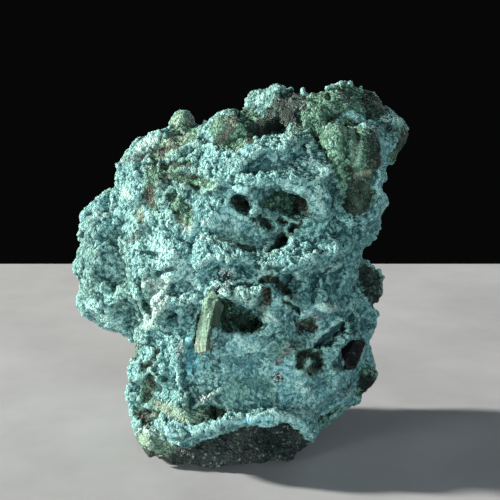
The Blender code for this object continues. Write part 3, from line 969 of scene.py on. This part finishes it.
class Nodes:
    """A short way to write a material's nodes."""

    def __init__(self, name):
        self.material = bpy.data.materials.new(name)
        self.material.use_nodes = True
        self.tree = self.material.node_tree
        self.shader = self.tree.nodes["Principled BSDF"]

    def add(self, kind, **settings):
        node = self.tree.nodes.new(kind)
        for name, value in settings.items():
            setattr(node, name, value)
        return node

    def link(self, source, target):
        self.tree.links.new(source, target)

    def attribute(self, name):
        return self.add("ShaderNodeAttribute", attribute_name=name).outputs["Fac"]

    def coordinates(self):
        return self.add("ShaderNodeTexCoord").outputs["Object"]

    def noise(self, scale, detail=4.0, roughness=0.6, vector=None):
        node = self.add("ShaderNodeTexNoise")
        node.inputs["Scale"].default_value = scale
        node.inputs["Detail"].default_value = detail
        node.inputs["Roughness"].default_value = roughness
        self.link(vector or self.coordinates(), node.inputs["Vector"])
        return node.outputs["Fac"]

    def specks(self, scale):
        node = self.add("ShaderNodeGroup", node_tree=GRAIN_SPECKS)
        node.inputs["Scale"].default_value = scale
        self.link(self.coordinates(), node.inputs["Vector"])
        return node.outputs["Speck"], node.outputs["Gap"]

    def between(self, value, low, high, to_low=0.0, to_high=1.0):
        node = self.add("ShaderNodeMapRange")
        node.inputs["From Min"].default_value = low
        node.inputs["From Max"].default_value = high
        node.inputs["To Min"].default_value = to_low
        node.inputs["To Max"].default_value = to_high
        self.link(value, node.inputs["Value"])
        return node.outputs["Result"]

    def maths(self, operation, first, second):
        node = self.add("ShaderNodeMath", operation=operation)
        for socket, value in zip(node.inputs, (first, second)):
            if isinstance(value, (int, float)):
                socket.default_value = value
            else:
                self.link(value, socket)
        return node.outputs["Value"]

    def times(self, first, second):
        return self.maths("MULTIPLY", first, second)

    def stretched(self, *scale):
        node = self.add("ShaderNodeMapping")
        node.inputs["Scale"].default_value = scale
        self.link(self.coordinates(), node.inputs["Vector"])
        return node.outputs["Vector"]

    def bump(self, height, distance):
        node = self.add("ShaderNodeBump")
        node.inputs["Distance"].default_value = distance
        self.link(height, node.inputs["Height"])
        self.link(node.outputs["Normal"], self.shader.inputs["Normal"])

    def mix(self, share, first, second):
        node = self.add("ShaderNodeMix", data_type="RGBA")
        sockets = (node.inputs["Factor"], node.inputs[6], node.inputs[7])
        for socket, value in zip(sockets, (share, first, second)):
            if isinstance(value, (int, float, tuple)):
                socket.default_value = value
            else:
                self.link(value, socket)
        return node.outputs[2]

    def tones(self, pattern, low, high, first, second):
        """A colour that runs from the first to the second as the pattern rises."""
        return self.mix(self.between(pattern, low, high), linear(*first), linear(*second))

    def coats(self, colour, *coats):
        """The colour under thin coats.

        Each is a pattern, where it starts, where it is fullest, its share there and its colour.
        """
        for pattern, start, full, share, coat in coats:
            shown = self.between(pattern, start, full, 0, share)
            colour = self.mix(shown, colour, linear(*coat))
        return colour

    def tints(self, colour, *tints):
        """The colour under tints: each is a mark's name or a share, its strength and its colour."""
        for mark, strength, tint in tints:
            share = self.attribute(mark) if isinstance(mark, str) else mark
            colour = self.mix(self.times(share, strength), colour, linear(*tint))
        return colour


def grain_specks():
    """Small grains, each a little lighter or darker than the next, with gaps between them."""
    group = bpy.data.node_groups.new("grain_specks", "ShaderNodeTree")
    group.interface.new_socket("Vector", in_out="INPUT", socket_type="NodeSocketVector")
    group.interface.new_socket("Scale", in_out="INPUT", socket_type="NodeSocketFloat")
    group.interface.new_socket("Speck", in_out="OUTPUT", socket_type="NodeSocketFloat")
    group.interface.new_socket("Gap", in_out="OUTPUT", socket_type="NodeSocketFloat")
    entry = group.nodes.new("NodeGroupInput")
    leave = group.nodes.new("NodeGroupOutput")
    cells = group.nodes.new("ShaderNodeTexVoronoi")
    parts = group.nodes.new("ShaderNodeSeparateColor")
    group.links.new(entry.outputs["Vector"], cells.inputs["Vector"])
    group.links.new(entry.outputs["Scale"], cells.inputs["Scale"])
    group.links.new(cells.outputs["Color"], parts.inputs["Color"])
    group.links.new(parts.outputs["Red"], leave.inputs["Speck"])
    group.links.new(cells.outputs["Distance"], leave.inputs["Gap"])
    return group


GRAIN_SPECKS = grain_specks()


def crust_colour(made, noises, relief_shading):
    broad, middling, small, fine = noises
    speck, gap = made.specks(1500)
    crumb, _ = made.specks(2600)
    hollow_shade, crest_highlight = relief_shading
    crust = made.coats(
        made.tones(broad, 0.35, 0.65, (100, 168, 168), (132, 188, 178)),
        (middling, 0.5, 0.68, 0.5, (76, 144, 146)),
        (middling, 0.45, 0.3, 0.5, (150, 196, 182)),
        (small, 0.52, 0.7, 0.5, (60, 118, 116)),
        # Painted shade: where rough is low, mostly on faces turned from the key lamp, the crust is
        # coated a darker slate blue.
        (made.attribute("rough"), 0.7, 0.15, 0.5, (90, 146, 152)),
    )
    rough = made.between(made.attribute("rough"), 0.15, 0.9, 0.25, 0.9)
    # Dark and pale crumb specks, strongest on rough faces toward the key lamp; the pale ones are
    # partly painted highlight.
    crust = made.tints(
        crust,
        (made.between(crumb, 0.4, 0.0), rough, (48, 100, 102)),
        (made.between(crumb, 0.65, 1.0), rough, (172, 214, 200)),
    )
    crust = made.coats(
        crust,
        (speck, 0.5, 0.0, 0.42, (70, 124, 122)),
        (speck, 0.6, 1.0, 0.38, (158, 206, 198)),
    )
    flecks = made.noise(900, 3, 0.7, made.stretched(0.45, 0.45, 1.5))
    smooth = made.coats(
        made.tones(middling, 0.35, 0.62, (96, 156, 160), (142, 188, 186)),
        (small, 0.52, 0.64, 0.7, (168, 200, 186)),
        (small, 0.46, 0.34, 0.8, (66, 122, 122)),
        (made.attribute("streaks"), 0.5, 0.25, 0.4, (64, 112, 116)),
        (fine, 0.56, 0.66, 0.8, (34, 72, 74)),
        (flecks, 0.57, 0.64, 0.8, (36, 78, 82)),
        (flecks, 0.42, 0.34, 0.6, (160, 198, 190)),
    )
    crust = made.mix(made.times(made.attribute("smooth"), 0.9), crust, smooth)
    moss = made.tones(fine, 0.4, 0.6, (58, 96, 82), (108, 148, 130))
    patches = made.between(middling, 0.3, 0.7, 0.3, 1)
    crust = made.mix(made.times(made.attribute("mossy"), patches), crust, moss)
    crust = made.tints(
        crust,
        # Dark teal crust, which in troughs, under ledges and on faces turned from the light is
        # painted shade.
        ("teal_and_shade", 0.6, (38, 92, 94)),
        # Painted shade in folds, pits and under ledges.
        ("painted_shade", 0.85, (24, 58, 58)),
        ("bright", 0.8, (112, 196, 206)),
        ("cream", 0.8, (188, 208, 196)),
        # Painted highlight on lit ridges and faces, and a few pale lips of the crust.
        ("pale_and_highlight", 0.5, (180, 218, 206)),
        # Pale fine crust; on the lit left body and lobe its paleness is partly painted highlight.
        ("fine", 0.7, (160, 208, 200)),
    )
    # Painted shade: darker in the gaps between grains and in the broad hollows of the surface.
    crust = made.coats(
        crust,
        (gap, 0.42, 0.72, 0.6, (46, 92, 92)),
        (made.attribute("broad_relief"), 0.0, -0.7, 0.45, (44, 94, 98)),
    )
    return made.tints(
        crust,
        # Painted shade in small hollows.
        (hollow_shade, 0.8, (28, 68, 71)),
        ("cream", 0.45, (172, 202, 188)),
        # Painted highlight on small crests.
        (crest_highlight, 0.36, (178, 222, 208)),
    )


def malachite_colour(made, noises, relief_shading):
    _, middling, small, fine = noises
    speck, _ = made.specks(1900)
    hollow_shade, crest_highlight = relief_shading
    olive = made.tones(fine, 0.4, 0.6, (100, 136, 108), (176, 200, 172))
    green = made.tones(middling, 0.35, 0.65, (36, 80, 60), (84, 138, 108))
    green = made.mix(made.times(made.attribute("olive"), 0.9), green, olive)
    green = made.coats(
        # Grey-black malachite, on the crown's shaded face painted darker as painted shade.
        made.tints(green, ("ash_and_shade", 0.85, (24, 34, 34))),
        (small, 0.5, 0.66, 0.6, (16, 38, 28)),
        (speck, 0.45, 0.0, 0.8, (12, 26, 18)),
        (speck, 0.68, 1.0, 0.8, (150, 190, 166)),
    )
    green = made.tints(
        green,
        # Painted highlight on small crests.
        (crest_highlight, 0.5, (128, 172, 146)),
        # Grey-black malachite, partly painted shade.
        ("ash_and_shade", 0.7, (24, 36, 35)),
        # Near-black malachite, and painted shade in hollows and on the shaded sides of knobs.
        ("dark", 0.78, (14, 24, 19)),
        # Painted shade in small hollows.
        (hollow_shade, 0.7, (10, 20, 15)),
    )
    foot = made.coats(
        made.tones(middling, 0.35, 0.65, (28, 38, 35), (62, 74, 68)),
        (small, 0.5, 0.64, 0.6, (56, 74, 62)),
        (fine, 0.52, 0.66, 0.7, (14, 20, 18)),
        (speck, 0.4, 0.0, 0.7, (12, 18, 16)),
        # Light flecks on the foot: partly pale grains, partly painted glints of its small crystals.
        (speck, 0.86, 1.0, 0.7, (124, 140, 132)),
    )
    olive = made.coats(
        olive,
        (small, 0.47, 0.6, 0.8, (62, 92, 70)),
        (speck, 0.45, 0.0, 0.8, (36, 56, 44)),
    )
    foot = made.mix(made.times(made.attribute("olive"), 0.85), foot, olive)
    green = made.mix(made.attribute("foot"), green, foot)
    # Cream grains, and painted highlight from the pale marks on faces that catch the light.
    return made.tints(green, ("cream", 0.6, (150, 160, 138)), ("pale_and_highlight", 0.5, (150, 184, 160)))


def rock_material():
    made = Nodes("crusted_malachite")
    noises = (made.noise(70, 3), made.noise(300), made.noise(650, 3), made.noise(1300, 3))
    _, middling, _, fine = noises
    small_relief = made.attribute("small_relief")
    # Painted shade in small hollows and painted highlight on small crests.
    relief_shading = made.between(small_relief, -0.01, -0.1), made.between(small_relief, 0.02, 0.14)
    speck, gap = made.specks(1500)
    _, crumb_gap = made.specks(2600)
    colour = made.mix(
        made.attribute("malachite"),
        crust_colour(made, noises, relief_shading),
        malachite_colour(made, noises, relief_shading),
    )
    brown = made.tones(speck, 0.4, 0.9, (30, 28, 25), (124, 110, 102))
    stained = made.times(made.attribute("brown"), made.between(fine, 0.4, 0.6, 0.1, 0.8))
    made.link(made.mix(stained, colour, brown), made.shader.inputs["Base Color"])
    roughness = made.between(middling, 0.3, 0.7, 0.6, 0.9)
    glint = made.times(made.attribute("malachite"), made.between(speck, 0.85, 0.9))
    roughness = made.mix(glint, roughness, (0.3, 0.3, 0.3, 1))
    made.link(roughness, made.shader.inputs["Roughness"])
    made.shader.inputs["Specular IOR Level"].default_value = 0.35
    grains = made.times(made.maths("SUBTRACT", 1.0, gap), 0.6)
    grains = made.maths("ADD", grains, made.times(crumb_gap, -0.5))
    flatter = made.between(made.attribute("smooth"), 0, 1, 1, 0.45)
    made.bump(made.times(made.maths("ADD", grains, fine), flatter), 0.001)
    return made.material


rock.data.materials.append(rock_material())


def toward_eye(tree, u, v, lift):
    """The surface at the frame's point u, v, moved this far to the viewer, in millimetres."""
    place, _ = landing(tree, u, v)
    return place + (eye() - AIM) / DISTANCE * lift


def prism(name, first, last, radius, sides=6, turn=0.0, flat=1.0, slants=()):
    """A straight crystal between two places, an edge towards the viewer, cut by slanting planes.

    Each slant is how far up the crystal its plane stands, from -1 to 1, and the plane's normal.
    """
    axis = Vector(last) - Vector(first)
    length = axis.length
    bpy.ops.object.select_all(action="DESELECT")
    bpy.ops.mesh.primitive_cylinder_add(vertices=sides, radius=radius * MM, depth=length * MM)
    piece = bpy.context.active_object
    piece.name = name
    bpy.ops.object.mode_set(mode="EDIT")
    for share, normal in slants:
        bpy.ops.mesh.select_all(action="SELECT")
        place = (0, 0, share * length * MM / 2)
        bpy.ops.mesh.bisect(plane_co=place, plane_no=normal, use_fill=True, clear_outer=True)
    bpy.ops.object.mode_set(mode="OBJECT")
    middle = (Vector(first) + Vector(last)) / 2 * MM
    upward = axis.normalized()
    across = Vector(eye() - AIM).cross(upward).normalized()
    stand = Matrix((across, upward.cross(across), upward)).transposed().to_4x4()
    shape = Matrix.Rotation(turn, 4, "Z") @ Matrix.Diagonal((1, flat, 1, 1))
    piece.data.transform(Matrix.Translation(middle) @ stand @ shape)
    return piece


def make_finger(tree):
    """The finger-like crystal over the small cave, its facets worn and its ends broken."""
    first, last = (toward_eye(tree, *end) for end in FINGER_ENDS)
    slants = ((0.9, (0.5, 0.2, 0.8)), (-0.9, (-0.5, 0.4, -0.75)), (-0.84, (0.6, -0.3, -0.75)))
    finger = prism("finger_crystal", first, last, 2.45, sides=4, turn=-0.1, slants=slants)
    apply_modifier(finger, "REMESH", mode="VOXEL", voxel_size=FINGER_VOXEL * MM)
    places, normals = places_of(finger)
    height = 0.25 * wander(places, 3, 2.7) + 0.2 * broken(places, 3.0, 5.1)
    height += 0.16 * wander(places * np.array((1, 1, 0.15)), 0.55, 1.3)
    height += 0.1 * wander(places, 0.6, 8.3)
    share = (places[:, 2] - first[2]) / (last[2] - first[2])
    places = places + normals * height[:, None]
    places[:, 0] -= 0.5 * np.sin(share * math.pi)
    set_places(finger, places)
    store(finger, "low_end", smoothstep(0.55, 0.9, share))
    # The side turned from the key lamp, for painted shade in the finger's colour.
    store(finger, "painted_shade_side", smoothstep(-0.05, 0.25, normals[:, 0]))
    finger.data.shade_smooth()
    return finger


def make_dark_crystal(tree):
    """The faceted dark crystal sunk in the right side."""
    first, last = (toward_eye(tree, *end) for end in DARK_ENDS)
    slants = ((0.8, (0.45, -0.2, 0.8)), (0.7, (-0.7, 0.1, 0.6)), (-0.8, (-0.5, 0.1, -0.8)))
    crystal = prism("dark_crystal", first, last, 2.9, turn=0.25, flat=0.8, slants=slants)
    apply_modifier(crystal, "REMESH", mode="VOXEL", voxel_size=DARK_VOXEL * MM)
    places, normals = places_of(crystal)
    height = 0.45 * broken(places, 2.0, 7.1) + 0.2 * broken(places, 0.9, 2.1)
    set_places(crystal, places + normals * height[:, None])
    apply_modifier(crystal, "TRIANGULATE")
    select_only(crystal)
    bpy.ops.object.shade_smooth_by_angle(angle=math.radians(30))
    return crystal


def quartz_point():
    """The corners and faces of a small six-sided crystal with a point, 1 wide and 2.6 high."""
    bpy.ops.object.select_all(action="DESELECT")
    bpy.ops.mesh.primitive_cylinder_add(vertices=6, radius=0.5, depth=2)
    point = bpy.context.active_object
    bpy.ops.object.mode_set(mode="EDIT")
    bpy.ops.mesh.select_mode(type="FACE")
    bpy.ops.mesh.select_all(action="DESELECT")
    bpy.ops.object.mode_set(mode="OBJECT")
    max(point.data.polygons, key=lambda face: face.center.z).select = True
    bpy.ops.object.mode_set(mode="EDIT")
    bpy.ops.mesh.poke(offset=0.6)
    bpy.ops.mesh.select_all(action="SELECT")
    bpy.ops.mesh.quads_convert_to_tris()
    bpy.ops.object.mode_set(mode="OBJECT")
    shape = np.array([vertex.co[:] for vertex in point.data.vertices]) + (0, 0, 1)
    faces = np.array([face.vertices[:] for face in point.data.polygons])
    bpy.data.objects.remove(point)
    return shape, faces


def make_druse(tree):
    """Rings of small pale crystals round the dark pits."""
    shape, faces = quartz_point()
    draw = np.random.default_rng(DRUSE_SEED)
    corners, joined = [], []
    for u, v, radius, count in DRUSES:
        for _ in range(count):
            turn, out = draw.uniform(0, 2 * math.pi), radius * draw.uniform(0.3, 1.15)
            place, normal = landing(tree, u + out * math.cos(turn), v + out * math.sin(turn))
            if place is None:
                continue
            lean = Vector(normal) + Vector(draw.uniform(-0.7, 0.7, 3))
            stand = np.array(lean.to_track_quat("Z", "Y").to_matrix())
            size = draw.uniform(0.18, 0.38) * np.array((1, 1, draw.uniform(0.5, 1)))
            spun = shape * size
            joined.append(faces + len(shape) * len(corners))
            corners.append(spun @ stand.T + place - 0.2 * np.array(lean.normalized()))
    mesh = bpy.data.meshes.new("druse_points")
    mesh.from_pydata((np.concatenate(corners) * MM).tolist(), [], np.concatenate(joined).tolist())
    druse = bpy.data.objects.new("druse_points", mesh)
    bpy.context.scene.collection.objects.link(druse)
    return druse


def finger_material():
    made = Nodes("olive_crystal")
    speck, _ = made.specks(1700)
    middling, fine = made.noise(350), made.noise(1500)
    streaks = made.noise(600, 3, 0.6, made.stretched(1, 1, 0.15))
    colour = made.coats(
        made.tones(middling, 0.35, 0.65, (64, 97, 76), (106, 140, 115)),
        (streaks, 0.5, 0.62, 0.6, (30, 46, 38)),
        (speck, 0.75, 1.0, 0.5, (112, 136, 116)),
    )
    pink = made.between(fine, 0.48, 0.62, 0, 0.7)
    # Painted shade on the side turned from the key lamp; the low end is tinted pink.
    colour = made.tints(
        colour, ("painted_shade_side", 0.7, (30, 40, 30)), ("low_end", pink, (168, 150, 140))
    )
    made.link(colour, made.shader.inputs["Base Color"])
    made.link(made.between(middling, 0.3, 0.7, 0.5, 0.8), made.shader.inputs["Roughness"])
    made.bump(made.maths("ADD", streaks, made.times(fine, 0.7)), 0.0004)
    return made.material


def dark_crystal_material():
    made = Nodes("dark_crystal")
    streaks = made.noise(500, 3, 0.6, made.stretched(1, 1, 0.2))
    speck, _ = made.specks(900)
    colour = made.tones(streaks, 0.4, 0.65, (10, 9, 11), (24, 20, 24))
    # Painted glints: rare blue-grey specks stand in for light caught on the black crystal.
    colour = made.coats(colour, (speck, 0.9, 1.0, 0.7, (58, 84, 88)))
    made.link(colour, made.shader.inputs["Base Color"])
    made.link(made.between(streaks, 0.35, 0.65, 0.4, 0.65), made.shader.inputs["Roughness"])
    made.shader.inputs["Specular IOR Level"].default_value = 0.3
    made.bump(streaks, 0.0003)
    return made.material


def druse_material():
    made = Nodes("pale_druse")
    middling = made.noise(900, 2)
    speck, _ = made.specks(1200)
    colour = made.tones(middling, 0.35, 0.65, (146, 154, 152), (212, 222, 218))
    colour = made.coats(colour, (speck, 0.35, 0.0, 0.8, (58, 48, 48)))
    made.link(colour, made.shader.inputs["Base Color"])
    made.link(made.between(speck, 0, 1, 0.15, 0.4), made.shader.inputs["Roughness"])
    made.bump(middling, 0.0001)
    return made.material


final_tree = tree_of(rock)
crystals = (
    (make_finger(final_tree), finger_material()),
    (make_dark_crystal(final_tree), dark_crystal_material()),
    (make_druse(final_tree), druse_material()),
)
for crystal, material in crystals:
    crystal.data.name = crystal.name
    crystal.data.materials.append(material)
    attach(crystal, "root")


def cut_across(piece, height, keep_below):
    """Cuts the piece at this height in millimetres and closes the cut with a flat face."""
    select_only(piece)
    bpy.ops.object.mode_set(mode="EDIT")
    bpy.ops.mesh.select_mode(type="VERT")
    bpy.ops.mesh.select_all(action="SELECT")
    bpy.ops.mesh.bisect(
        plane_co=(0, 0, height * MM),
        plane_no=(0, 0, 1),
        use_fill=True,
        clear_outer=keep_below,
        clear_inner=not keep_below,
        threshold=1e-7,
    )
    bpy.ops.object.mode_set(mode="OBJECT")


def keep_normals(rock):
    """Stores the whole rock's normals, so that the shading runs on over the cuts."""
    layer = rock.data.attributes.new("whole_normal", "FLOAT_VECTOR", "POINT")
    _, normals = places_of(rock)
    layer.data.foreach_set("vector", normals.astype(np.float32).ravel())


def restore_normals(slab):
    """Gives the slab the normals that keep_normals stored."""
    layer = slab.data.attributes["whole_normal"]
    normals = np.zeros(len(slab.data.vertices) * 3, np.float32)
    layer.data.foreach_get("vector", normals)
    slab.data.attributes.remove(layer)
    normals = normals.reshape(-1, 3)
    normals /= np.linalg.norm(normals, axis=1)[:, None]
    slab.data.normals_split_custom_set_from_vertices(normals.tolist())


def cut_up(rock):
    """The rock as closed slabs, each with its name."""
    keep_normals(rock)
    slabs = []
    for name, top in SLABS[:-1]:
        slab = rock.copy()
        slab.data = rock.data.copy()
        bpy.context.scene.collection.objects.link(slab)
        cut_across(slab, top, keep_below=True)
        cut_across(rock, top, keep_below=False)
        slabs.append((name, slab))
    slabs.append((SLABS[-1][0], rock))
    for name, slab in slabs:
        slab.name = name
        slab.data.name = name
    return [slab for _, slab in slabs]


for slab in cut_up(rock):
    apply_modifier(slab, "TRIANGULATE")
    restore_normals(slab)
    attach(slab, "root")
    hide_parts("specimen")


# ---------------------------------------------------------------------------
# Table, light and camera


def make_table():
    bpy.ops.object.select_all(action="DESELECT")
    bpy.ops.mesh.primitive_plane_add(size=1)
    floor = bpy.context.active_object
    floor.name = "table"
    size = Matrix.Diagonal((*TABLE_SIDES, 1, 1))
    floor.data.transform(Matrix.Translation(TABLE_MIDDLE) @ size)
    return floor


def table_material():
    made = Nodes("pale_table")
    colour = made.tones(made.noise(30), 0.3, 0.7, (146, 146, 146), (160, 160, 160))
    made.link(colour, made.shader.inputs["Base Color"])
    made.shader.inputs["Roughness"].default_value = 0.9
    made.shader.inputs["Specular IOR Level"].default_value = 0.15
    return made.material


floor = make_table()
floor.data.materials.append(table_material())


def dark_room():
    """A room that looks black and still gives a faint, even light from all round."""
    world = bpy.data.worlds.new("room")
    world.use_nodes = True
    tree = world.node_tree
    seen = tree.nodes["Background"]
    seen.inputs["Color"].default_value = ROOM_SEEN
    glow = tree.nodes.new("ShaderNodeBackground")
    glow.inputs["Color"].default_value = ROOM_GLOW
    path = tree.nodes.new("ShaderNodeLightPath")
    chooser = tree.nodes.new("ShaderNodeMixShader")
    tree.links.new(path.outputs["Is Camera Ray"], chooser.inputs[0])
    tree.links.new(glow.outputs[0], chooser.inputs[1])
    tree.links.new(seen.outputs[0], chooser.inputs[2])
    tree.links.new(chooser.outputs[0], tree.nodes["World Output"].inputs["Surface"])
    bpy.context.scene.world = world


def lamp(name, place, width, power, colour):
    data = bpy.data.lights.new(name, "AREA")
    data.shape = "DISK"
    data.size = width
    data.energy = power
    data.color = colour
    light = bpy.data.objects.new(name, data)
    bpy.context.scene.collection.objects.link(light)
    light.location = place
    light.rotation_euler = (Vector(MIDDLE) - light.location).to_track_quat("-Z", "Y").to_euler()


dark_room()
for name, settings in LAMPS.items():
    lamp(name, *settings)

camera_data = bpy.data.cameras.new("camera")
camera_data.lens = LENS
camera_data.sensor_width = SENSOR
camera_data.clip_start = 0.01
camera = bpy.data.objects.new("camera", camera_data)
bpy.context.scene.collection.objects.link(camera)
camera.location = Vector(eye() * MM)
camera.rotation_euler = (Vector(AIM * MM) - camera.location).to_track_quat("-Z", "Y").to_euler()
bpy.context.scene.camera = camera
bpy.context.scene.view_settings.view_transform = "Standard"
